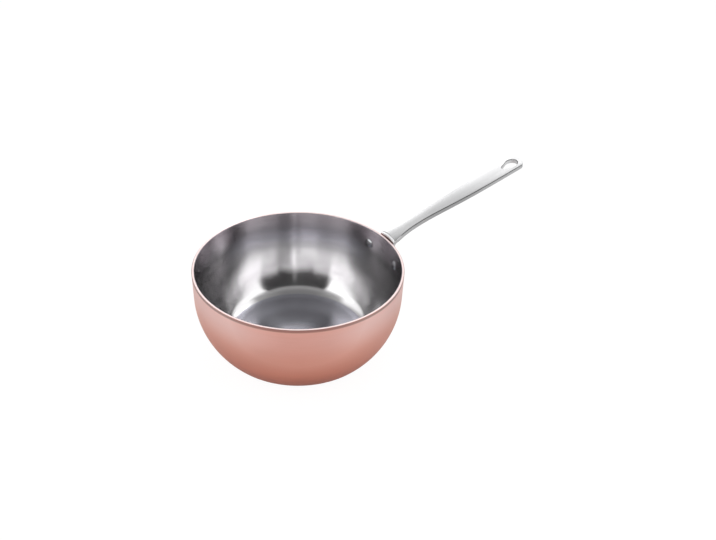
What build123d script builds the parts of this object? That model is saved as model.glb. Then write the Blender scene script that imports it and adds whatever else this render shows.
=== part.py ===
from build123d import *
import os
from math import asin, cos, degrees, radians, sin, sqrt, tan

# Saucier pan of three bonded layers, with a cast handle held by two rivets.
# The frame: millimetres, +Z up, the origin in the middle of the flat base on
# the bowl's axis, and the handle pointing along +X.

os.makedirs("parts", exist_ok=True)

# Bowl: its mouth, its layers and the outer face's section from rim to base.
mouth_radius = 100.0
copper_thickness = 0.5
core_thickness = 1.6
liner_thickness = 0.5
straight_wall_height = 28.0
side_curve_radius = 85.0
side_curve_angle = 40.0
corner_radius = 24.0
rim_rounding = 0.2

# Blade: the long crowned bar that is held, measured along its own slope.
blade_slope = 17.0
blade_above_rim = 3.3
blade_length = 170.6
blade_thickness = 5.2
crown_radius = 60.0
root_half_width = 11.5
throat_half_width = 10.2
waist_half_width = 8.3
tip_half_width = 10.3
throat_from_root = 10.5
waist_from_root = 74.0
tip_rounding_length = 7.2
blade_edge_rounding = 0.7

# Hanging hole: a drop shape, widest towards the tip.
hole_wide_radius = 6.7
hole_narrow_radius = 3.2
hole_length = 18.6
hole_tip_web = 4.6
hole_edge_rounding = 0.7

# Flange: the curved plate that lies on the wall and takes the rivets.
flange_thickness = 3.5
flange_ear_radius = 8.5
flange_belly_radius = 10.8
flange_top_below_rim = 3.2
flange_edge_rounding = 0.8

# Neck: where the blade turns down into the flange.
neck_sink = 0.3
neck_side_radius = 7.0
neck_inside_radius = 5.0
neck_bend_radius = 3.0
neck_gap = 0.8

# Rivets: solid pins with a domed head inside and a low head on the flange.
rivet_below_rim = 17.1
rivet_spacing = 46.6
rivet_shank_radius = 2.8
rivet_hole_clearance = 0.05
rivet_head_radius = 5.2
rivet_head_height = 2.3
rivet_head_edge = 0.6
rivet_tail_radius = 4.6
rivet_tail_height = 1.5
rivet_tail_edge = 0.4

# One overrun serves every cut that has to pass right through.
cut_overrun = 5.0
quarter_turn = 90.0

# Sizes that follow from the ones above.
wall_thickness = copper_thickness + core_thickness + liner_thickness
rim_radius = mouth_radius + wall_thickness
side_sine = sin(radians(side_curve_angle))
side_cosine = cos(radians(side_curve_angle))
side_curve_top = corner_radius * (1 - side_sine) + side_curve_radius * side_sine
bowl_height = side_curve_top + straight_wall_height
side_curve_centre = rim_radius - side_curve_radius
base_radius = side_curve_centre + (side_curve_radius - corner_radius) * side_cosine

rivet_height = bowl_height - rivet_below_rim
rivet_angle = degrees(asin(rivet_spacing / 2 / mouth_radius))
rivet_angles = {"rivet_left": rivet_angle, "rivet_right": -rivet_angle}
flange_radius = rim_radius + flange_thickness
flange_top = bowl_height - flange_top_below_rim

slope_cosine = cos(radians(blade_slope))
slope_sine = sin(radians(blade_slope))
blade_root = Vector(rim_radius, 0, bowl_height + blade_above_rim)
blade_line = Vector(slope_cosine, 0, slope_sine)
blade_normal = Vector(-slope_sine, 0, slope_cosine)
blade_floor_at_rim = blade_root.Z - blade_thickness / slope_cosine
tip_curve_start = blade_length - tip_rounding_length
hole_wide_centre = blade_length - hole_tip_web - hole_wide_radius
hole_narrow_centre = hole_wide_centre + hole_wide_radius - hole_length + hole_narrow_radius


def bowl_curve(depth):
    """Section of the bowl at this depth below its outer face, centre to rim."""
    Line((0, depth), (base_radius, depth))
    CenterArc(
        (base_radius, corner_radius),
        corner_radius - depth,
        -quarter_turn,
        quarter_turn - side_curve_angle,
    )
    CenterArc(
        (side_curve_centre, side_curve_top),
        side_curve_radius - depth,
        -side_curve_angle,
        side_curve_angle,
    )
    Line((rim_radius - depth, side_curve_top), (rim_radius - depth, bowl_height))


def along_blade(edge):
    """How far along the blade's slope an edge's middle lies from the root."""
    return (edge.center() - blade_root).dot(blade_line)


def depth_in_blade(edge):
    """How far an edge's middle lies below the crown, square to the slope."""
    return (blade_root - edge.center()).dot(blade_normal)


def rivet_axis_plane(angle):
    """Plane on the bowl's axis at rivet height that looks out along a rivet."""
    turn = radians(angle)
    return Plane(
        origin=(0, 0, rivet_height),
        x_dir=(-sin(turn), cos(turn), 0),
        z_dir=(cos(turn), sin(turn), 0),
    )


def rivet_section_plane(angle):
    """Plane through a rivet's axis, with its first direction along the rivet."""
    turn = radians(angle)
    return Plane(
        origin=(0, 0, rivet_height),
        x_dir=(cos(turn), sin(turn), 0),
        z_dir=(sin(turn), -cos(turn), 0),
    )


def drill_rivet_holes():
    """Drill both rivet holes out through the wall or the flange."""
    for angle in rivet_angles.values():
        with BuildSketch(rivet_axis_plane(angle)) as rivet_hole:
            Circle(rivet_shank_radius + rivet_hole_clearance)
        extrude(rivet_hole.sketch, amount=flange_radius + cut_overrun, mode=Mode.SUBTRACT)


def cut_clear_of_rim():
    """Cut the handle back from the rim, where it stands off the wall."""
    with BuildSketch(Plane.XZ) as clearance:
        with BuildLine():
            Polyline(
                (0, flange_top),
                (rim_radius, flange_top),
                (rim_radius + neck_gap, flange_top + neck_gap),
                (rim_radius + neck_gap, blade_root.Z + cut_overrun),
                (0, blade_root.Z + cut_overrun),
                (0, flange_top),
            )
        make_face()
    revolve(clearance.sketch, axis=Axis.Z, mode=Mode.SUBTRACT)


def bowl_layer(outer_depth, inner_depth, eased_edge=None):
    """One bonded layer of the bowl, between two depths below the outer face.

    eased_edge picks the rim edge that is rounded: 0 for the inner one and
    -1 for the outer one.
    """
    with BuildPart() as layer:
        with BuildSketch(Plane.XZ):
            with BuildLine():
                bowl_curve(outer_depth)
                bowl_curve(inner_depth)
                Line((0, outer_depth), (0, inner_depth))
                Line(
                    (rim_radius - outer_depth, bowl_height),
                    (rim_radius - inner_depth, bowl_height),
                )
            make_face()
        revolve(axis=Axis.Z)
        if eased_edge is not None:
            rim_edges = layer.edges().group_by(Axis.Z)[-1].filter_by(GeomType.CIRCLE)
            fillet(rim_edges.sort_by(SortBy.RADIUS)[eased_edge], rim_rounding)
        drill_rivet_holes()
    return layer


def make_rivet(angle):
    """One rivet, its heads bedded on the liner and on the flange."""
    with BuildPart() as rivet:
        with BuildSketch(rivet_section_plane(angle)):
            with BuildLine():
                head_top = mouth_radius - rivet_head_height
                head_shoulder = mouth_radius - rivet_head_edge
                dome_middle = rivet_head_height - rivet_head_edge
                dome_radius = (rivet_head_radius**2 + dome_middle**2) / (2 * dome_middle)
                RadiusArc((head_top, 0), (head_shoulder, rivet_head_radius), dome_radius)
                Polyline(
                    (head_shoulder, rivet_head_radius),
                    (rim_radius, rivet_head_radius),
                    (rim_radius, 0),
                    (head_top, 0),
                )
            make_face()
        revolve(axis=Axis(rivet_section_plane(angle).origin, rivet_section_plane(angle).x_dir))
        with BuildSketch(rivet_section_plane(angle)):
            with BuildLine():
                tail_top = flange_radius + rivet_tail_height
                tail_shoulder = flange_radius + rivet_tail_edge
                tail_middle = rivet_tail_height - rivet_tail_edge
                tail_dome_radius = (rivet_tail_radius**2 + tail_middle**2) / (2 * tail_middle)
                RadiusArc((tail_shoulder, rivet_tail_radius), (tail_top, 0), tail_dome_radius)
                Polyline(
                    (tail_top, 0),
                    (rim_radius, 0),
                    (rim_radius, rivet_tail_radius),
                    (tail_shoulder, rivet_tail_radius),
                )
            make_face()
        revolve(axis=Axis(rivet_section_plane(angle).origin, rivet_section_plane(angle).x_dir))
        with BuildSketch(Plane.XZ):
            with Locations(((mouth_radius + flange_radius) / 2, rivet_height)):
                Rectangle(flange_radius - mouth_radius, 2 * rivet_head_radius + cut_overrun)
        revolve(axis=Axis.Z, mode=Mode.SUBTRACT)
        shank_start = mouth_radius - rivet_head_edge
        shank_end = flange_radius + rivet_tail_edge
        with BuildSketch(rivet_axis_plane(angle).offset(shank_start)):
            Circle(rivet_shank_radius)
        extrude(amount=shank_end - shank_start)
    return rivet


# Copper shell: the satin outer layer, with its outer rim edge eased.
copper_shell = bowl_layer(0, copper_thickness, eased_edge=-1)
copper_shell.part.label = "copper_shell"
export_step(copper_shell.part, "parts/copper_shell.step")

# Aluminium core: the thick middle layer, seen only as a ring at the cut rim.
aluminium_core = bowl_layer(copper_thickness, copper_thickness + core_thickness)
aluminium_core.part.label = "aluminium_core"
export_step(aluminium_core.part, "parts/aluminium_core.step")

# Steel liner: the cooking surface, with its inner rim edge eased.
steel_liner = bowl_layer(copper_thickness + core_thickness, wall_thickness, eased_edge=0)
steel_liner.part.label = "steel_liner"
export_step(steel_liner.part, "parts/steel_liner.step")

# Flange: a slice of a ring on the bowl's wall, cut to the winged outline.
with BuildPart() as flange:
    with BuildSketch(Plane.XZ):
        flange_bottom = rivet_height - flange_belly_radius
        with Locations(((rim_radius + flange_radius) / 2, (flange_bottom + bowl_height) / 2)):
            Rectangle(flange_thickness, bowl_height - flange_bottom + cut_overrun)
    revolve(axis=Axis.Z)
    with BuildSketch(Plane.YZ) as flange_outline:
        ear_offset = rim_radius * sin(radians(rivet_angle))
        with Locations((-ear_offset, rivet_height), (ear_offset, rivet_height)):
            Circle(flange_ear_radius)
        with Locations((0, rivet_height)):
            Circle(flange_belly_radius)
        make_hull()
        with Locations((0, rivet_height)):
            Rectangle(
                2 * root_half_width,
                bowl_height - rivet_height,
                align=(Align.CENTER, Align.MIN),
            )
        shoulder_corners = flange_outline.vertices().filter_by(
            lambda corner: abs(abs(corner.X) - root_half_width) < neck_sink
            and corner.Y < flange_top
        )
        fillet(shoulder_corners, neck_side_radius)
    extrude(amount=flange_radius + cut_overrun, mode=Mode.INTERSECT)
    cut_clear_of_rim()
    flange_outer_face = flange.faces().sort_by(SortBy.AREA)[-1]
    fillet(flange_outer_face.edges(), flange_edge_rounding)

# Blade and neck: one side view with the rounded corner under the root, given
# the crowned top and the waisted outline, then the bend over the rim, the
# rounded edges and the hanging hole.
section_half_width = root_half_width + cut_overrun / 2
section_drop = crown_radius - sqrt(crown_radius**2 - section_half_width**2)
section_depth = blade_thickness + rivet_below_rim
slope_rise = tan(radians(blade_slope))
neck_face = sqrt(flange_radius**2 - root_half_width**2) - neck_sink
neck_underside = blade_floor_at_rim + (neck_face - rim_radius) * slope_rise
neck_bottom = neck_underside - 2 * neck_inside_radius
blade_end = rim_radius + blade_length + cut_overrun
blade_end_underside = blade_floor_at_rim + (blade_end - rim_radius) * slope_rise
blade_end_top = blade_end_underside + 2 * blade_thickness
with BuildPart() as blade:
    with BuildSketch(Plane.XZ):
        with BuildLine():
            FilletPolyline(
                (neck_face, neck_bottom),
                (neck_face, neck_underside),
                (blade_end, blade_end_underside),
                radius=neck_inside_radius,
            )
            Polyline(
                (blade_end, blade_end_underside),
                (blade_end, blade_end_top),
                (rim_radius - cut_overrun, blade_end_top),
                (rim_radius - cut_overrun, flange_top + neck_gap / 2),
                (rim_radius + flange_thickness / 2, flange_top + neck_gap / 2),
                (rim_radius + flange_thickness / 2, neck_bottom),
                (neck_face, neck_bottom),
            )
        make_face()
    extrude(amount=section_half_width, both=True)
    with BuildSketch(
        Plane(origin=blade_root - blade_line * cut_overrun, x_dir=(0, 1, 0), z_dir=blade_line)
    ):
        with BuildLine():
            ThreePointArc(
                (-section_half_width, -section_drop), (0, 0), (section_half_width, -section_drop)
            )
            Polyline(
                (section_half_width, -section_drop),
                (section_half_width, -section_depth),
                (-section_half_width, -section_depth),
                (-section_half_width, -section_drop),
            )
        make_face()
    extrude(amount=blade_length + 2 * cut_overrun, mode=Mode.INTERSECT)
    with BuildSketch(Plane(origin=blade_root, x_dir=blade_line, z_dir=blade_normal)):
        with BuildLine():
            Polyline(
                (-cut_overrun, 0),
                (-cut_overrun, root_half_width),
                (flange_thickness, root_half_width),
            )
            Spline(
                (flange_thickness, root_half_width),
                (throat_from_root, throat_half_width),
                (waist_from_root, waist_half_width),
                (tip_curve_start, tip_half_width),
                tangents=[(1, 0), (1, 0)],
            )
            EllipticalCenterArc(
                (tip_curve_start, 0), tip_rounding_length, tip_half_width, arc_size=quarter_turn
            )
            mirror(about=Plane.XZ)
        make_face()
    extrude(amount=section_depth, both=True, mode=Mode.INTERSECT)
    cut_clear_of_rim()
    bend_middle = (rim_radius + neck_gap, 0, blade_root.Z)
    fillet(blade.edges().sort_by_distance(bend_middle)[0], neck_bend_radius)
    crown_edges = blade.edges().filter_by(
        lambda edge: along_blade(edge) > throat_from_root
        and depth_in_blade(edge) < blade_thickness / 2
        and abs(edge.center().Y) > root_half_width / 2
    )
    underside_edges = blade.edges().filter_by(
        lambda edge: along_blade(edge) > 0
        and depth_in_blade(edge) > blade_thickness - blade_edge_rounding
        and abs(edge.center().Y) > root_half_width / 2
    )
    fillet(crown_edges + underside_edges, blade_edge_rounding)
    with BuildSketch(Plane(origin=blade_root, x_dir=blade_line, z_dir=blade_normal)):
        with Locations((hole_wide_centre, 0)):
            Circle(hole_wide_radius)
        with Locations((hole_narrow_centre, 0)):
            Circle(hole_narrow_radius)
        make_hull()
    extrude(amount=blade_thickness + cut_overrun, both=True, mode=Mode.SUBTRACT)
    through_hole = Axis(blade_root, blade_normal)
    hole_mouth_edges = blade.edges(Select.NEW).filter_by(through_hole, reverse=True)
    fillet(hole_mouth_edges, hole_edge_rounding)

# Handle: flange and blade in one casting, drilled for the rivets.
with BuildPart() as handle:
    add(flange.part)
    add(blade.part)
    drill_rivet_holes()
handle.part.label = "handle"
export_step(handle.part, "parts/handle.step")

# Rivets: the left one is on the +Y side, seen from the bowl along the handle.
for rivet_name, angle in rivet_angles.items():
    rivet = make_rivet(angle)
    rivet.part.label = rivet_name
    export_step(rivet.part, f"parts/{rivet_name}.step")
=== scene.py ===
import logging
import math
from dataclasses import dataclass, field
from enum import Enum

import bpy
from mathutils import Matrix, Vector


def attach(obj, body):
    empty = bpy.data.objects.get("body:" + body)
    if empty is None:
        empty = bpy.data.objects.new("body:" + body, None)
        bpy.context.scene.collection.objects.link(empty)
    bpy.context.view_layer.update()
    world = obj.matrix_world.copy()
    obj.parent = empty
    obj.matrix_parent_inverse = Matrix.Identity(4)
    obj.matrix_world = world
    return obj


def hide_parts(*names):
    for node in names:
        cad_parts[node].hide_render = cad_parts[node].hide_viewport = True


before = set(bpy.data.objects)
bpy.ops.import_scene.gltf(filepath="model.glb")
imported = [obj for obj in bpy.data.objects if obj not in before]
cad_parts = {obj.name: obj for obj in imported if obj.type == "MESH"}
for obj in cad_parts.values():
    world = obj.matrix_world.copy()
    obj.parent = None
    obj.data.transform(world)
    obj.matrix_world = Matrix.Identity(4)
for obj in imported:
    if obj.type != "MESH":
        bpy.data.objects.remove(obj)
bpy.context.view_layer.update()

log = logging.getLogger("saucier_pan")

Colour = tuple[float, float, float]
# The radius and the height of a corner, in millimetres.
Point = tuple[float, float]
# A direction or a rise in degrees, and how bright the room is there.
Level = tuple[float, float]
# The lowest and the highest value.
Range = tuple[float, float]
Socket = bpy.types.NodeSocket
Value = Socket | float | tuple

# Metres in a millimetre, and millimetres in a metre.
MM = 0.001
PER_METRE = 1000.0
# Corners closer than this, in metres, become one.
MERGE_DISTANCE = 1e-6
DRILL_SIDES = 48
# Watts for each square metre of a lamp with a brightness of 1.
LAMP_WATTS_PER_AREA = 4.0
# A quarter turn, as the metal's highlight counts it.
QUARTER_TURN = 0.25
RAMP_MIDDLE = 0.5


class Grain(Enum):
    """Which way the polishing lines of a finish run over the piece."""

    ROUND = "round the bowl's axis"
    LENGTHWISE = "along the handle"


class Blend(Enum):
    """How one colour goes over another."""

    COVER = "MIX"
    MULTIPLY = "MULTIPLY"


class Along(Enum):
    """What a ramp of painted light and shade follows."""

    LENGTH = "X"
    WIDTH = "Y"
    HEIGHT = "Z"
    RADIUS = "out from the bowl's axis"


def grey(level: float) -> Colour:
    """A neutral colour of this linear level."""
    return (level, level, level)


@dataclass
class NodeMaker:
    """Adds nodes to one node tree and links them."""

    tree: bpy.types.NodeTree

    def feed(self, socket: Socket, value: Value) -> None:
        """Link a socket to an input, or set the input to a plain value.

        Args:
            socket: The input.
            value: What it gets.
        """
        if isinstance(value, bpy.types.NodeSocket):
            self.tree.links.new(value, socket)
        else:
            socket.default_value = value

    def node(self, kind: str, inputs: dict[str, Value] | None = None, **settings: object) -> bpy.types.Node:
        """Add a node.

        Args:
            kind: The node's type.
            inputs: Sockets or plain values for its inputs, by name.
            settings: The node's own properties.

        Returns:
            The node.
        """
        node = self.tree.nodes.new(kind)
        for name, value in settings.items():
            setattr(node, name, value)
        for name, value in (inputs or {}).items():
            self.feed(node.inputs[name], value)
        return node

    def maths(self, operation: str, first: Value, second: Value | None = None) -> Socket:
        """Add a Math node.

        Args:
            operation: The Math node's operation.
            first: A socket or a number for the first input.
            second: A socket or a number for the second input, where it has one.

        Returns:
            The node's output socket.
        """
        node = self.node("ShaderNodeMath", operation=operation)
        for socket, value in zip(node.inputs, (first, second)):
            if value is not None:
                self.feed(socket, value)
        return node.outputs[0]

    def split(self, vector: Socket) -> dict[str, Socket]:
        """Take a vector apart into its X, Y and Z sockets."""
        node = self.node("ShaderNodeSeparateXYZ", {"Vector": vector})
        return {axis: node.outputs[axis] for axis in "XYZ"}

    def radius(self, parts: dict[str, Socket]) -> Socket:
        """Measure the distance from the Z axis.

        Args:
            parts: The X, Y and Z sockets of the place.

        Returns:
            The distance's socket.
        """
        squares = [self.maths("MULTIPLY", parts[axis], parts[axis]) for axis in "XY"]
        return self.maths("SQRT", self.maths("ADD", *squares))

    def span(self, value: Socket, source: Range, target: Range = (0.0, 1.0)) -> Socket:
        """Map a range of values to another, clamped at its ends.

        Args:
            value: The value to map.
            source: The range's ends.
            target: What the ends become.

        Returns:
            The mapped value's socket.
        """
        inputs = {
            "Value": value,
            "From Min": source[0],
            "From Max": source[1],
            "To Min": target[0],
            "To Max": target[1],
        }
        return self.node("ShaderNodeMapRange", inputs).outputs["Result"]

    def ramp(self, factor: Socket, stops: list[tuple[float, Colour]]) -> Socket:
        """Add a colour ramp.

        Args:
            factor: The socket that picks the place on the ramp.
            stops: Places from 0 to 1 with their linear colours, in order.

        Returns:
            The ramp's colour socket.
        """
        node = self.node("ShaderNodeValToRGB", {"Fac": factor})
        elements = node.color_ramp.elements
        while len(elements) < len(stops):
            elements.new(RAMP_MIDDLE)
        for element, (place, colour) in zip(elements, stops):
            element.position = place
            element.color = (*colour, 1.0)
        return node.outputs["Color"]

    def mix(self, share: Value, first: Value, second: Value, blend: Blend = Blend.COVER) -> Socket:
        """Mix two colours.

        Args:
            share: A socket or a number for the share of the second colour.
            first: A socket or a colour.
            second: A socket or a colour.
            blend: How the second colour goes over the first.

        Returns:
            The mixed colour's socket.
        """
        node = self.node("ShaderNodeMix", data_type="RGBA", blend_type=blend.value)
        for name, value in (("Factor", share), ("A", first), ("B", second)):
            sockets = [socket for socket in node.inputs if socket.name == name and socket.enabled]
            self.feed(sockets[0], value)
        return [socket for socket in node.outputs if socket.enabled][0]

    def noise(self, vector: Socket, scale: float, detail: float, roughness: float = 0.5) -> Socket:
        """Add a noise texture.

        Args:
            vector: Where the noise is read.
            scale: How fine it is.
            detail: How many finer layers it has.
            roughness: How strong the finer layers are.

        Returns:
            The noise's value socket.
        """
        inputs = {"Vector": vector, "Scale": scale, "Detail": detail, "Roughness": roughness}
        return self.node("ShaderNodeTexNoise", inputs).outputs["Fac"]


def start_material(name: str) -> tuple[bpy.types.Material, NodeMaker]:
    """Start an empty node material.

    Args:
        name: Name of the material.

    Returns:
        The material and the maker of its nodes.
    """
    material = bpy.data.materials.new(name)
    material.use_nodes = True
    material.node_tree.nodes.clear()
    return material, NodeMaker(material.node_tree)


@dataclass(frozen=True)
class PaintedLightRamp:
    """Painted light and shade over a piece: a ramp of colour that stands in for how light falls on it.

    Each stop is a place in millimetres and the colour that multiplies the
    metal's own there. The stops lie between the start and the end of the span.
    """

    along: Along
    stops: tuple[tuple[float, Colour], ...]
    start_mm: float = 0.0
    span_mm: float = 300.0

    def apply(self, nodes: NodeMaker, colour: Socket, parts: dict[str, Socket]) -> Socket:
        """Paint light and shade onto a colour.

        Args:
            nodes: The maker of the material's nodes.
            colour: The colour so far.
            parts: The X, Y and Z sockets of the place on the piece.

        Returns:
            The colour with the painted light and shade.
        """
        place = nodes.radius(parts) if self.along is Along.RADIUS else parts[self.along.value]
        scaled = nodes.maths("MULTIPLY", place, 1.0 / (self.span_mm * MM))
        share = nodes.maths("SUBTRACT", scaled, self.start_mm / self.span_mm)
        stops = [((stop - self.start_mm) / self.span_mm, shade) for stop, shade in self.stops]
        return nodes.mix(1.0, colour, nodes.ramp(share, stops), Blend.MULTIPLY)


@dataclass(frozen=True)
class PaintedSheen:
    """Painted sheen: satin metal painted paler where it turns away from the eye, as if catching light
    there.

    It sets in as the metal turns, and it fades out towards the base.
    """

    colour: Colour
    blend: float = 0.5
    turned: Range = (0.19, 0.38)
    height_mm: Range = (20.0, 70.0)

    def apply(self, nodes: NodeMaker, colour: Socket, parts: dict[str, Socket]) -> Socket:
        """Paint the sheen: make a colour paler where the metal turns away.

        Args:
            nodes: The maker of the material's nodes.
            colour: The colour so far.
            parts: The X, Y and Z sockets of the place on the piece.

        Returns:
            The colour with the painted sheen.
        """
        facing = nodes.node("ShaderNodeLayerWeight", {"Blend": self.blend}).outputs["Facing"]
        low, high = self.height_mm
        raised = nodes.span(parts["Z"], (low * MM, high * MM))
        share = nodes.maths("MULTIPLY", nodes.span(facing, self.turned), raised)
        return nodes.mix(share, colour, (*self.colour, 1.0))


@dataclass(frozen=True)
class PaintedEdgeShade:
    """Painted shade: a darker line along the narrow rounded edges between top and sides.

    It sets in and fades out with the upward share of the face's direction, and
    it starts at a place along the handle.
    """

    level: float
    start_mm: float
    fade_mm: float = 4.0
    set_in: Range = (0.12, 0.22)
    fade_out: Range = (0.80, 0.88)

    def apply(self, nodes: NodeMaker, colour: Socket, parts: dict[str, Socket]) -> Socket:
        """Paint shade along the edges onto a colour.

        Args:
            nodes: The maker of the material's nodes.
            colour: The colour so far.
            parts: The X, Y and Z sockets of the place on the piece.

        Returns:
            The colour with the painted shade along the edges.
        """
        normal = nodes.node("ShaderNodeTexCoord").outputs["Normal"]
        plain, dark = grey(1.0), grey(self.level)
        stops = list(zip((*self.set_in, *self.fade_out), (plain, dark, dark, plain)))
        shade = nodes.ramp(nodes.split(normal)["Z"], stops)
        far = nodes.span(parts["X"], (self.start_mm * MM, (self.start_mm + self.fade_mm) * MM))
        return nodes.mix(far, colour, shade, Blend.MULTIPLY)


@dataclass(frozen=True)
class BrushedMetal:
    """A metal polished in fine parallel lines, with faint marks of use.

    The lines are stretched noise that runs round the bowl or along the
    handle. With broader patches they tint the colour and vary the roughness,
    and alone they raise a slight bump.

    Attributes:
        name: Name of the material.
        colour: Linear colour of the plain metal.
        worn_colour: Linear colour where it is worn.
        roughness: Mean roughness.
        roughness_spread: How far the roughness strays from its mean.
        anisotropy: How far the highlight is stretched across the lines.
        grain: Which way the lines run.
        lines_per_mm: How close the lines lie.
        bump_mm: Height of the lines.
        patch_mm: Size of the patches.
        line_stretch: Length of a line, in widths, along the handle.
        round_line_share: How fast a line changes on its way round the bowl.
        axis_gap: Radius in metres within which the lines no longer close in.
        line_detail: Finer layers in the lines.
        line_roughness: Strength of those layers.
        patch_detail: Finer layers in the patches.
        line_share: Share of the lines in the pattern, beside the patches.
        worn_to_plain: Pattern values of the worn and of the plain colour.
        pattern_range: Pattern values of the least and the most roughness.
        painted_sheen: The painted sheen, paler where the metal turns away, if any.
        painted_light_ramps: Painted light and shade over the piece.
        painted_edge_shade: The painted shade along the edges, if any.
    """

    name: str
    colour: Colour
    worn_colour: Colour
    roughness: float
    roughness_spread: float
    anisotropy: float
    grain: Grain
    lines_per_mm: float = 3.0
    bump_mm: float = 0.004
    patch_mm: float = 26.0
    line_stretch: float = 60.0
    round_line_share: float = 0.0016
    axis_gap: float = 0.0005
    line_detail: float = 3.0
    line_roughness: float = 0.6
    patch_detail: float = 4.0
    line_share: float = 0.6
    worn_to_plain: Range = (0.36, 0.60)
    pattern_range: Range = (0.3, 0.7)
    painted_sheen: PaintedSheen | None = None
    painted_light_ramps: tuple[PaintedLightRamp, ...] = ()
    painted_edge_shade: PaintedEdgeShade | None = None

    def line_coordinates(self, nodes: NodeMaker, plain: Socket, parts: dict[str, Socket]) -> Socket:
        """Lay out the coordinates that the lines follow.

        Args:
            nodes: The maker of the material's nodes.
            plain: The object coordinates.
            parts: Their X, Y and Z sockets.

        Returns:
            The stretched coordinates of the lines.
        """
        across = PER_METRE * self.lines_per_mm
        if self.grain is Grain.LENGTHWISE:
            scale = (across / self.line_stretch, across, across)
            return nodes.node("ShaderNodeMapping", {"Vector": plain, "Scale": scale}).outputs["Vector"]
        radius = nodes.radius(parts)
        safe = nodes.maths("MAXIMUM", radius, self.axis_gap)
        turn = across * self.round_line_share
        inputs = {
            "X": nodes.maths("MULTIPLY", nodes.maths("DIVIDE", parts["X"], safe), turn),
            "Y": nodes.maths("MULTIPLY", nodes.maths("DIVIDE", parts["Y"], safe), turn),
            "Z": nodes.maths("MULTIPLY", nodes.maths("SUBTRACT", radius, parts["Z"]), across),
        }
        return nodes.node("ShaderNodeCombineXYZ", inputs).outputs["Vector"]

    def point_highlight(self, nodes: NodeMaker, shader: bpy.types.Node) -> None:
        """Point the stretched highlight across the polishing lines.

        Args:
            nodes: The maker of the material's nodes.
            shader: The Principled shader.
        """
        if self.grain is Grain.ROUND:
            tangent = nodes.node("ShaderNodeTangent", direction_type="RADIAL", axis="Z").outputs["Tangent"]
            shader.inputs["Anisotropic Rotation"].default_value = QUARTER_TURN
        else:
            tangent = nodes.node("ShaderNodeCombineXYZ", {"Y": 1.0}).outputs["Vector"]
        nodes.feed(shader.inputs["Tangent"], tangent)

    def tinted(self, nodes: NodeMaker, pattern: Socket, parts: dict[str, Socket]) -> Socket:
        """Colour the metal, with its wear and its painted light and shade.

        Args:
            nodes: The maker of the material's nodes.
            pattern: The lines and patches, from worn to plain.
            parts: The X, Y and Z sockets of the place on the piece.

        Returns:
            The colour's socket.
        """
        worn_level, plain_level = self.worn_to_plain
        colour = nodes.ramp(pattern, [(worn_level, self.worn_colour), (plain_level, self.colour)])
        for change in (self.painted_sheen, *self.painted_light_ramps, self.painted_edge_shade):
            if change is not None:
                colour = change.apply(nodes, colour, parts)
        return colour

    def build(self) -> bpy.types.Material:
        """Make the metal's material.

        Returns:
            The material.
        """
        material, nodes = start_material(self.name)
        plain = nodes.node("ShaderNodeTexCoord").outputs["Object"]
        parts = nodes.split(plain)
        coordinates = self.line_coordinates(nodes, plain, parts)
        lines = nodes.noise(coordinates, 1.0, self.line_detail, self.line_roughness)
        patches = nodes.noise(plain, PER_METRE / self.patch_mm, self.patch_detail)
        pattern = nodes.maths(
            "ADD",
            nodes.maths("MULTIPLY", lines, self.line_share),
            nodes.maths("MULTIPLY", patches, 1.0 - self.line_share),
        )
        roughness = (self.roughness - self.roughness_spread, self.roughness + self.roughness_spread)
        relief = {"Strength": 1.0, "Distance": self.bump_mm * MM, "Height": lines}
        bump = nodes.node("ShaderNodeBump", relief)
        shader = nodes.node(
            "ShaderNodeBsdfPrincipled",
            {
                "Base Color": self.tinted(nodes, pattern, parts),
                "Metallic": 1.0,
                "Roughness": nodes.span(pattern, self.pattern_range, roughness),
                "Anisotropic": self.anisotropy,
                "Normal": bump.outputs["Normal"],
            },
        )
        self.point_highlight(nodes, shader)
        nodes.node("ShaderNodeOutputMaterial", {"Surface": shader.outputs["BSDF"]})
        return material


COPPER = BrushedMetal(
    name="satin_copper",
    colour=(0.81, 0.42, 0.36),
    worn_colour=(0.77, 0.385, 0.32),
    roughness=0.36,
    roughness_spread=0.04,
    anisotropy=0.35,
    grain=Grain.ROUND,
    # Painted sheen: the copper is painted paler where it turns away, towards the top, as if lit there.
    painted_sheen=PaintedSheen(colour=(0.98, 0.64, 0.59)),
    # Painted light and shade by height: the copper is darker towards the base, paler towards the top, and a
    # thin dark line is painted just under the rim.
    painted_light_ramps=(
        PaintedLightRamp(
            Along.HEIGHT,
            (
                (5.0, (0.65, 0.48, 0.39)),
                (20.0, (0.76, 0.56, 0.46)),
                (33.0, (0.88, 0.68, 0.57)),
                (56.0, (0.91, 0.76, 0.68)),
                (80.0, (0.96, 0.98, 0.98)),
                (88.5, (0.96, 0.98, 0.98)),
                (89.1, grey(0.46)),
            ),
        ),
    ),
)
WALL_STEEL = BrushedMetal(
    name="wall_steel",
    colour=(0.90, 0.89, 0.90),
    worn_colour=(0.84, 0.83, 0.84),
    roughness=0.165,
    roughness_spread=0.01,
    anisotropy=0.95,
    grain=Grain.ROUND,
    lines_per_mm=1.2,
    bump_mm=0.0005,
    # Painted light and shade by height: a painted lighter band near 57 mm, and painted shade that darkens
    # the wall towards the rim.
    painted_light_ramps=(
        PaintedLightRamp(
            Along.HEIGHT,
            (
                (40.0, grey(0.88)),
                (48.0, grey(0.93)),
                (57.0, grey(1.0)),
                (65.0, (0.80, 0.79, 0.80)),
                (74.0, (0.52, 0.50, 0.52)),
                (86.0, (0.38, 0.35, 0.37)),
            ),
        ),
    ),
)
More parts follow.
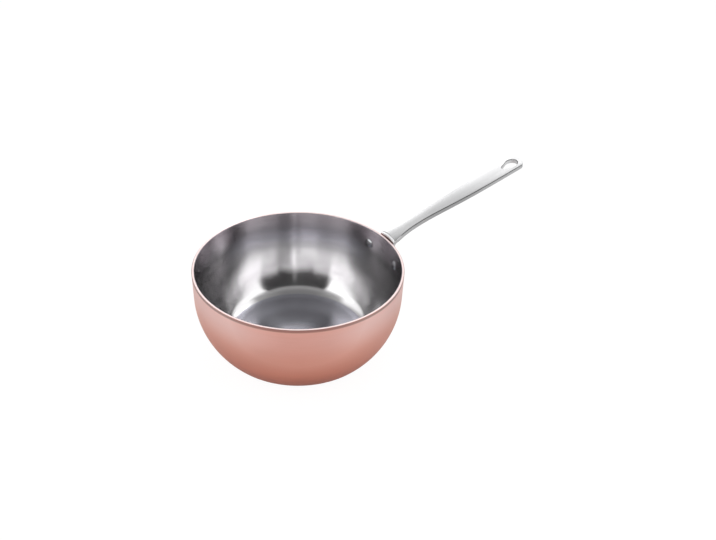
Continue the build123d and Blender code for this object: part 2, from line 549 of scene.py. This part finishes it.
FLOOR_STEEL = BrushedMetal(
    name="floor_steel",
    colour=(0.89, 0.89, 0.98),
    worn_colour=(0.84, 0.84, 0.93),
    roughness=0.20,
    roughness_spread=0.005,
    anisotropy=0.98,
    grain=Grain.ROUND,
    lines_per_mm=1.2,
    bump_mm=0.00003,
    # Painted reflection: the floor is brightest at its centre, darkest in a ring 27 to 40 mm out, and
    # lighter again towards the wall.
    painted_light_ramps=(
        PaintedLightRamp(
            Along.RADIUS,
            (
                (4.0, grey(1.0)),
                (15.0, grey(0.86)),
                (27.0, grey(0.53)),
                (40.0, grey(0.49)),
                (52.0, grey(0.67)),
                (62.0, grey(0.70)),
            ),
        ),
    ),
)
RIM_METAL = BrushedMetal(
    name="cut_rim",
    colour=(0.80, 0.66, 0.65),
    worn_colour=(0.72, 0.58, 0.57),
    roughness=0.28,
    roughness_spread=0.05,
    anisotropy=0.0,
    grain=Grain.ROUND,
    bump_mm=0.001,
)
HANDLE_STEEL = BrushedMetal(
    name="handle_steel",
    colour=(0.95, 0.95, 0.96),
    worn_colour=(0.89, 0.89, 0.90),
    roughness=0.22,
    roughness_spread=0.03,
    anisotropy=0.3,
    grain=Grain.LENGTHWISE,
    bump_mm=0.001,
    painted_light_ramps=(
        # Painted light and shade along the handle: lighter near the root and the tip, darker in the middle
        # of the blade.
        PaintedLightRamp(
            Along.LENGTH,
            (
                (118.0, grey(1.0)),
                (135.0, grey(0.90)),
                (155.0, grey(0.76)),
                (185.0, grey(0.76)),
                (215.0, grey(0.91)),
                (240.0, grey(1.0)),
            ),
        ),
        # Painted shade across the handle: darker towards its -Y side.
        PaintedLightRamp(
            Along.WIDTH,
            ((-12.0, grey(0.66)), (-2.0, grey(0.70)), (4.0, grey(0.82)), (10.0, grey(1.0))),
            start_mm=-20.0,
            span_mm=40.0,
        ),
    ),
    # Painted shade along the rounded edges between the blade's top and sides.
    painted_edge_shade=PaintedEdgeShade(level=0.2, start_mm=111.0),
)
RIVET_STEEL = BrushedMetal(
    name="rivet_steel",
    # Painted shade: the rivet steel is made much darker than steel, standing in for the shade the heads sit
    # in.
    colour=(0.30, 0.30, 0.31),
    worn_colour=(0.25, 0.25, 0.26),
    roughness=0.14,
    roughness_spread=0.03,
    anisotropy=0.0,
    grain=Grain.LENGTHWISE,
    lines_per_mm=1.5,
    bump_mm=0.001,
)


def spin_section(name: str, section: list[Point], steps: int) -> bpy.types.Object:
    """Draw half of a round piece's section and spin it about the bowl's axis.

    Args:
        name: Name of the piece.
        section: Radius and height of each corner in millimetres, from the
            axis round the section and back to the axis.
        steps: How many steps the full turn takes.

    Returns:
        The closed piece, with its place in its mesh.
    """
    bpy.ops.object.select_all(action="DESELECT")
    bpy.ops.mesh.primitive_plane_add(size=MM)
    piece = bpy.context.object
    piece.name = name
    piece.data.name = name
    bpy.ops.object.mode_set(mode="EDIT")
    bpy.ops.mesh.select_all(action="SELECT")
    bpy.ops.mesh.merge(type="CENTER")
    radius, height = section[0]
    bpy.ops.transform.translate(value=(radius * MM, 0.0, height * MM))
    for (radius, height), (next_radius, next_height) in zip(section, section[1:]):
        move = ((next_radius - radius) * MM, 0.0, (next_height - height) * MM)
        bpy.ops.mesh.extrude_region_move(TRANSFORM_OT_translate={"value": move})
    bpy.ops.mesh.select_all(action="SELECT")
    bpy.ops.mesh.spin(steps=steps, angle=math.tau, center=(0.0, 0.0, 0.0), axis=(0.0, 0.0, 1.0))
    bpy.ops.mesh.select_all(action="SELECT")
    bpy.ops.mesh.remove_doubles(threshold=MERGE_DISTANCE)
    bpy.ops.mesh.normals_make_consistent(inside=False)
    bpy.ops.object.mode_set(mode="OBJECT")
    return piece


def drill(piece: bpy.types.Object, axis_height: float, turn: float, radius: float, reach: float) -> None:
    """Drill a round hole outwards from the bowl's axis.

    Args:
        piece: The piece that gets the hole.
        axis_height: Height of the hole's axis in millimetres.
        turn: Direction of the hole round the bowl, in degrees from +X.
        radius: Radius of the hole in millimetres.
        reach: How far out the drill goes, in millimetres.
    """
    direction = Vector((math.cos(math.radians(turn)), math.sin(math.radians(turn)), 0.0))
    middle = direction * (reach * MM / 2) + Vector((0.0, 0.0, axis_height * MM))
    bpy.ops.object.select_all(action="DESELECT")
    bpy.ops.mesh.primitive_cylinder_add(
        vertices=DRILL_SIDES,
        radius=radius * MM,
        depth=reach * MM,
        location=middle,
        rotation=(0.0, math.pi / 2, math.radians(turn)),
    )
    bit = bpy.context.object
    cut = piece.modifiers.new("rivet_hole", "BOOLEAN")
    cut.operation = "DIFFERENCE"
    cut.solver = "FAST"
    cut.object = bit
    bpy.ops.object.select_all(action="DESELECT")
    piece.select_set(True)
    bpy.context.view_layer.objects.active = piece
    bpy.ops.object.modifier_apply(modifier=cut.name)
    bpy.data.objects.remove(bit)


def smooth(piece: bpy.types.Object, angle: float) -> None:
    """Shade a piece smooth, except over edges sharper than an angle.

    Args:
        piece: The piece.
        angle: The angle in degrees.
    """
    bpy.ops.object.select_all(action="DESELECT")
    piece.select_set(True)
    bpy.context.view_layer.objects.active = piece
    bpy.ops.object.shade_smooth_by_angle(angle=math.radians(angle))


@dataclass
class Bowl:
    """The bonded bowl: copper outside, a cut rim of core metal, steel inside.

    Sizes are in millimetres and angles in degrees. The drill reaches out by a
    share of the rim's radius, and faces up to the floor margin above the
    cooking surface get the floor's finish.
    """

    rim_radius: float = 102.6
    height: float = 91.21
    side_radius: float = 85.0
    side_angle: float = 40.0
    corner_radius: float = 24.0
    copper_thickness: float = 0.5
    core_thickness: float = 1.6
    liner_thickness: float = 0.5
    rim_rounding: float = 0.45
    rivet_below_rim: float = 17.1
    rivet_turn: float = 13.47
    rivet_hole_radius: float = 2.85
    drill_reach_share: float = 1.1
    floor_margin: float = 1.2
    rim_steps: int = 4
    corner_steps: int = 20
    side_steps: int = 28
    spin_steps: int = 256
    smooth_angle: float = 30.0

    def curve(self, depth: float) -> list[Point]:
        """Trace the wall's section at a depth below its outer face.

        Args:
            depth: Depth below the outer face.

        Returns:
            Radius and height of each point, from the axis to the rim.
        """
        sine = math.sin(math.radians(self.side_angle))
        cosine = math.cos(math.radians(self.side_angle))
        side_top = self.corner_radius * (1 - sine) + self.side_radius * sine
        side_centre = self.rim_radius - self.side_radius
        base = side_centre + (self.side_radius - self.corner_radius) * cosine
        points = [(0.0, depth), (base / 2, depth), (base, depth)]
        for step in range(1, self.corner_steps + 1):
            turn = math.radians(-90.0 + (90.0 - self.side_angle) * step / self.corner_steps)
            reach = self.corner_radius - depth
            points.append((base + reach * math.cos(turn), self.corner_radius + reach * math.sin(turn)))
        for step in range(1, self.side_steps + 1):
            turn = math.radians(-self.side_angle + self.side_angle * step / self.side_steps)
            reach = self.side_radius - depth
            points.append((side_centre + reach * math.cos(turn), side_top + reach * math.sin(turn)))
        return points

    def rounded(self, radius: float, outwards: bool) -> list[Point]:
        """Ease a rim edge.

        Args:
            radius: Radius of the face that runs up to the edge.
            outwards: Whether the eased edge is the outer one.

        Returns:
            The edge's points, from the wall up to the rim.
        """
        side = -1.0 if outwards else 1.0
        centre = radius + side * self.rim_rounding
        points = []
        for step in range(self.rim_steps + 1):
            turn = math.pi / 2 * step / self.rim_steps
            across = centre - side * self.rim_rounding * math.cos(turn)
            points.append((across, self.height - self.rim_rounding + self.rim_rounding * math.sin(turn)))
        return points

    def layer(
        self, name: str, outer: float, inner: float, eased_outer: bool, eased_inner: bool
    ) -> bpy.types.Object:
        """Model one layer of the wall.

        Args:
            name: Name of the piece.
            outer: Depth of its outer face below the bowl's.
            inner: Depth of its inner face below the bowl's.
            eased_outer: Whether its outer rim edge is eased.
            eased_inner: Whether its inner rim edge is eased.

        Returns:
            The layer, drilled for the rivets.
        """
        out_radius, in_radius = self.rim_radius - outer, self.rim_radius - inner
        out_edge = self.rounded(out_radius, True) if eased_outer else [(out_radius, self.height)]
        in_edge = self.rounded(in_radius, False) if eased_inner else [(in_radius, self.height)]
        section = self.curve(outer) + out_edge + in_edge[::-1] + self.curve(inner)[::-1]
        piece = spin_section(name, section, self.spin_steps)
        reach = self.rim_radius * self.drill_reach_share
        for turn in (self.rivet_turn, -self.rivet_turn):
            drill(piece, self.height - self.rivet_below_rim, turn, self.rivet_hole_radius, reach)
        smooth(piece, self.smooth_angle)
        return piece

    def build(self) -> list[bpy.types.Object]:
        """Model and dress the three layers.

        Returns:
            The layers, from outside to inside.
        """
        core_top = self.copper_thickness
        liner_top = core_top + self.core_thickness
        liner_inner = liner_top + self.liner_thickness
        shell = self.layer("bowl_outside", 0.0, core_top, True, False)
        shell.data.materials.append(COPPER.build())
        core = self.layer("bowl_core", core_top, liner_top, False, False)
        core.data.materials.append(RIM_METAL.build())
        liner = self.layer("bowl_inside", liner_top, liner_inner, False, True)
        for finish in (WALL_STEEL, FLOOR_STEEL):
            liner.data.materials.append(finish.build())
        for face in liner.data.polygons:
            on_floor = face.center.z < (liner_inner + self.floor_margin) * MM
            face.material_index = 1 if on_floor else 0
        for piece, node, slot in (
            (shell, "copper_shell", "copper"),
            (core, "aluminium_core", "core"),
            (liner, "steel_liner", "liner"),
        ):
            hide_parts(node)
            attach(piece, "root")
        return [shell, core, liner]


@dataclass
class Handle:
    """The cast handle and the two rivets that hold it, in the CAD model's shapes."""

    casting: str = "handle"
    rivets: tuple[str, ...] = ("rivet_left", "rivet_right")

    def dress(self, node: str, material: bpy.types.Material) -> bpy.types.Object:
        """Give a CAD node its material.

        Args:
            node: Name of the CAD node.
            material: The material that fills all its slots.

        Returns:
            The node's object.
        """
        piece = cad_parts[node]
        piece.data.materials.clear()
        piece.data.materials.append(material)
        return piece

    def build(self) -> list[bpy.types.Object]:
        """Dress the handle and its rivets.

        Returns:
            The handle and the rivets.
        """
        rivet_steel = RIVET_STEEL.build()
        casting = self.dress(self.casting, HANDLE_STEEL.build())
        return [casting, *(self.dress(rivet, rivet_steel) for rivet in self.rivets)]


@dataclass(frozen=True)
class Softbox:
    """An upright soft lamp that stands round the pan and faces it.

    Directions are seen from the pan, in degrees: its start and end from the
    camera's own side, positive towards the picture's right, and its low and
    high edge above the floor. The distance is in metres.
    """

    name: str
    start: float
    end: float
    low: float
    high: float
    brightness: float
    distance: float = 1.7

    def build(self, camera_azimuth: float) -> bpy.types.Object:
        """Make the lamp.

        Args:
            camera_azimuth: Where the camera stands, in degrees from -Y.

        Returns:
            The lamp's object.
        """
        turn = math.radians(camera_azimuth + (self.start + self.end) / 2)
        width = 2 * self.distance * math.tan(math.radians((self.end - self.start) / 2))
        bottom = self.distance * math.tan(math.radians(self.low))
        top = self.distance * math.tan(math.radians(self.high))
        outwards = Vector((math.sin(turn), -math.cos(turn), 0.0))
        data = bpy.data.lights.new(self.name, "AREA")
        data.shape = "RECTANGLE"
        data.size = width
        data.size_y = top - bottom
        data.energy = self.brightness * LAMP_WATTS_PER_AREA * width * (top - bottom)
        lamp = bpy.data.objects.new(self.name, data)
        lamp.location = outwards * self.distance + Vector((0.0, 0.0, (bottom + top) / 2))
        lamp.rotation_mode = "QUATERNION"
        lamp.rotation_quaternion = (-outwards).to_track_quat("-Z", "Y")
        lamp.visible_camera = False
        bpy.context.scene.collection.objects.link(lamp)
        return lamp


@dataclass
class Studio:
    """Floor, surroundings, lamps and camera.

    Distances are in metres. The walls go by the direction from the camera's
    own side and the ceiling by the rise above the floor, both in degrees.
    """

    camera_azimuth: float = -27.69
    camera_elevation: float = 36.6
    camera_distance: float = 0.718
    aim_height: float = 0.0461
    sensor_width: float = 36.0
    near_clip: float = 0.01
    lens: float = 35.87
    shift_x: float = 0.0839
    shift_y: float = 0.0441
    floor_width: float = 12.0
    floor_white_share: float = 0.85
    floor_glow_share: float = 0.06
    floor_white: float = 1.1
    floor_paleness: float = 0.73
    walls: tuple[Level, ...] = (
        (-180.0, 1.22),
        (-175.5, 1.18),
        (-174.0, 1.35),
        (-170.0, 1.35),
        (-168.0, 1.2),
        (-158.0, 0.6),
        (-138.0, 0.5),
        (-126.0, 1.2),
        (-97.0, 1.35),
        (-95.0, 0.5),
        (-48.0, 0.5),
        (-46.0, 0.02),
        (55.0, 0.02),
        (57.0, 0.5),
        (101.0, 0.5),
        (103.0, 1.3),
        (150.0, 1.22),
        (180.0, 1.22),
    )
    ceiling: tuple[Level, ...] = ((52.0, 0.5), (65.0, 0.4), (80.0, 0.2))
    ceiling_tilt: float = 0.08
    wall_top: float = 0.83
    ceiling_start: float = 0.87
    softboxes: tuple[Softbox, ...] = field(
        default_factory=lambda: (
            Softbox("left_box", start=-98, end=-47, low=3, high=54, brightness=0.88),
            Softbox("left_inner", start=-47, end=-41, low=3, high=29, brightness=0.82),
            Softbox("left_strip", start=-98, end=-42, low=12, high=26, brightness=0.75, distance=1.6),
            Softbox("right_box", start=56, end=103, low=3, high=54, brightness=0.74),
            Softbox("right_inner", start=51, end=56, low=3, high=29, brightness=0.8),
            Softbox("right_strip", start=52, end=103, low=12, high=26, brightness=0.6, distance=1.6),
            Softbox("front_strip", start=-20, end=25, low=1, high=23, brightness=1.9),
            Softbox("front_left", start=-47, end=-20, low=1, high=24, brightness=1.8),
            Softbox("front_right", start=25, end=55, low=1, high=24, brightness=1.7),
            Softbox("back_streak", start=-174.5, end=-169.5, low=2, high=38, brightness=1.4),
            Softbox("front_gleam", start=1, end=7, low=10, high=38, brightness=0.12, distance=1.6),
            Softbox("back_top", start=132, end=172, low=44, high=58, brightness=0.9),
        )
    )

    def aim(self) -> Vector:
        """The point on the bowl's axis that the camera looks at."""
        return Vector((0.0, 0.0, self.aim_height))

    def add_camera(self) -> bpy.types.Object:
        """Place the camera where the photograph was taken from.

        Returns:
            The camera.
        """
        turn = math.radians(self.camera_azimuth)
        rise = math.radians(self.camera_elevation)
        reach = math.cos(rise)
        back = Vector((math.sin(turn) * reach, -math.cos(turn) * reach, math.sin(rise)))
        data = bpy.data.cameras.new("camera")
        data.sensor_width = self.sensor_width
        data.lens = self.lens
        data.shift_x = self.shift_x
        data.shift_y = self.shift_y
        data.clip_start = self.near_clip
        camera = bpy.data.objects.new("camera", data)
        camera.location = self.aim() + back * self.camera_distance
        camera.rotation_mode = "QUATERNION"
        camera.rotation_quaternion = (-back).to_track_quat("-Z", "Y")
        bpy.context.scene.collection.objects.link(camera)
        bpy.context.scene.camera = camera
        return camera

    def add_floor(self) -> bpy.types.Object:
        """Lay the white floor, which keeps a soft shadow.

        Returns:
            The floor.
        """
        bpy.ops.object.select_all(action="DESELECT")
        bpy.ops.mesh.primitive_plane_add(size=self.floor_width, location=(0.0, 0.0, 0.0))
        floor = bpy.context.object
        floor.name = "floor"
        material, nodes = start_material("white_floor")
        path = nodes.node("ShaderNodeLightPath").outputs
        mirrored = nodes.maths("MAXIMUM", path["Is Glossy Ray"], path["Is Transmission Ray"])
        share = nodes.maths(
            "ADD",
            nodes.maths("MULTIPLY", path["Is Camera Ray"], self.floor_white_share),
            nodes.maths("MULTIPLY", mirrored, self.floor_glow_share),
        )
        matt = nodes.node("ShaderNodeBsdfDiffuse", {"Color": (*grey(self.floor_paleness), 1.0)})
        white = nodes.node("ShaderNodeEmission", {"Strength": self.floor_white})
        mix = nodes.node("ShaderNodeMixShader", {"Fac": share})
        nodes.feed(mix.inputs[1], matt.outputs["BSDF"])
        nodes.feed(mix.inputs[2], white.outputs["Emission"])
        nodes.node("ShaderNodeOutputMaterial", {"Surface": mix.outputs["Shader"]})
        floor.data.materials.append(material)
        return floor

    def room_colour(self, nodes: NodeMaker) -> Socket:
        """Paint the walls by direction and the ceiling by height.

        Args:
            nodes: The maker of the world's nodes.

        Returns:
            The room's colour socket.
        """
        source = nodes.node("ShaderNodeTexCoord").outputs["Generated"]
        rotation = (0.0, 0.0, math.radians(self.camera_azimuth))
        inputs = {"Vector": source, "Rotation": rotation}
        turned = nodes.node("ShaderNodeMapping", inputs, vector_type="TEXTURE")
        parts = nodes.split(turned.outputs["Vector"])
        azimuth = nodes.maths("ARCTAN2", parts["X"], nodes.maths("MULTIPLY", parts["Y"], -1.0))
        # The walls' ramp runs from 0 at -180 degrees to 1 at +180.
        round_turn = nodes.maths("ADD", nodes.maths("DIVIDE", azimuth, math.tau), 0.5)
        walls = nodes.ramp(round_turn, [(turn / 360.0 + 0.5, grey(level)) for turn, level in self.walls])
        rises = [(math.sin(math.radians(rise)), grey(level)) for rise, level in self.ceiling]
        ceiling = nodes.ramp(parts["Z"], rises)
        tilt = nodes.maths("MULTIPLY", parts["Y"], self.ceiling_tilt)
        edge = nodes.span(nodes.maths("SUBTRACT", parts["Z"], tilt), (self.wall_top, self.ceiling_start))
        return nodes.mix(edge, walls, ceiling)

    def add_world(self) -> bpy.types.World:
        """Surround the pan with pale walls, dark only behind the camera.

        Returns:
            The world. Camera rays see it plain white.
        """
        world = bpy.data.worlds.new("studio_room")
        world.use_nodes = True
        world.node_tree.nodes.clear()
        nodes = NodeMaker(world.node_tree)
        room = nodes.node("ShaderNodeBackground", {"Color": self.room_colour(nodes)})
        white = nodes.node("ShaderNodeBackground", {"Color": (*grey(1.0), 1.0)})
        camera_ray = nodes.node("ShaderNodeLightPath").outputs["Is Camera Ray"]
        mix = nodes.node("ShaderNodeMixShader", {"Fac": camera_ray})
        nodes.feed(mix.inputs[1], room.outputs["Background"])
        nodes.feed(mix.inputs[2], white.outputs["Background"])
        nodes.node("ShaderNodeOutputWorld", {"Surface": mix.outputs["Shader"]})
        bpy.context.scene.world = world
        return world

    def build(self) -> None:
        """Make the camera, the floor, the room and the lamps."""
        self.add_camera()
        self.add_floor()
        self.add_world()
        for softbox in self.softboxes:
            softbox.build(self.camera_azimuth)
        bpy.context.scene.view_settings.view_transform = "Standard"


def main() -> None:
    """Build the studio and the pan, piece by piece."""
    logging.basicConfig(level=logging.INFO, format="%(message)s")
    Studio().build()
    for assembly in (Bowl(), Handle()):
        for piece in assembly.build():
            log.info("piece %s: %d faces", piece.name, len(piece.data.polygons))


if __name__ == "__main__":
    main()
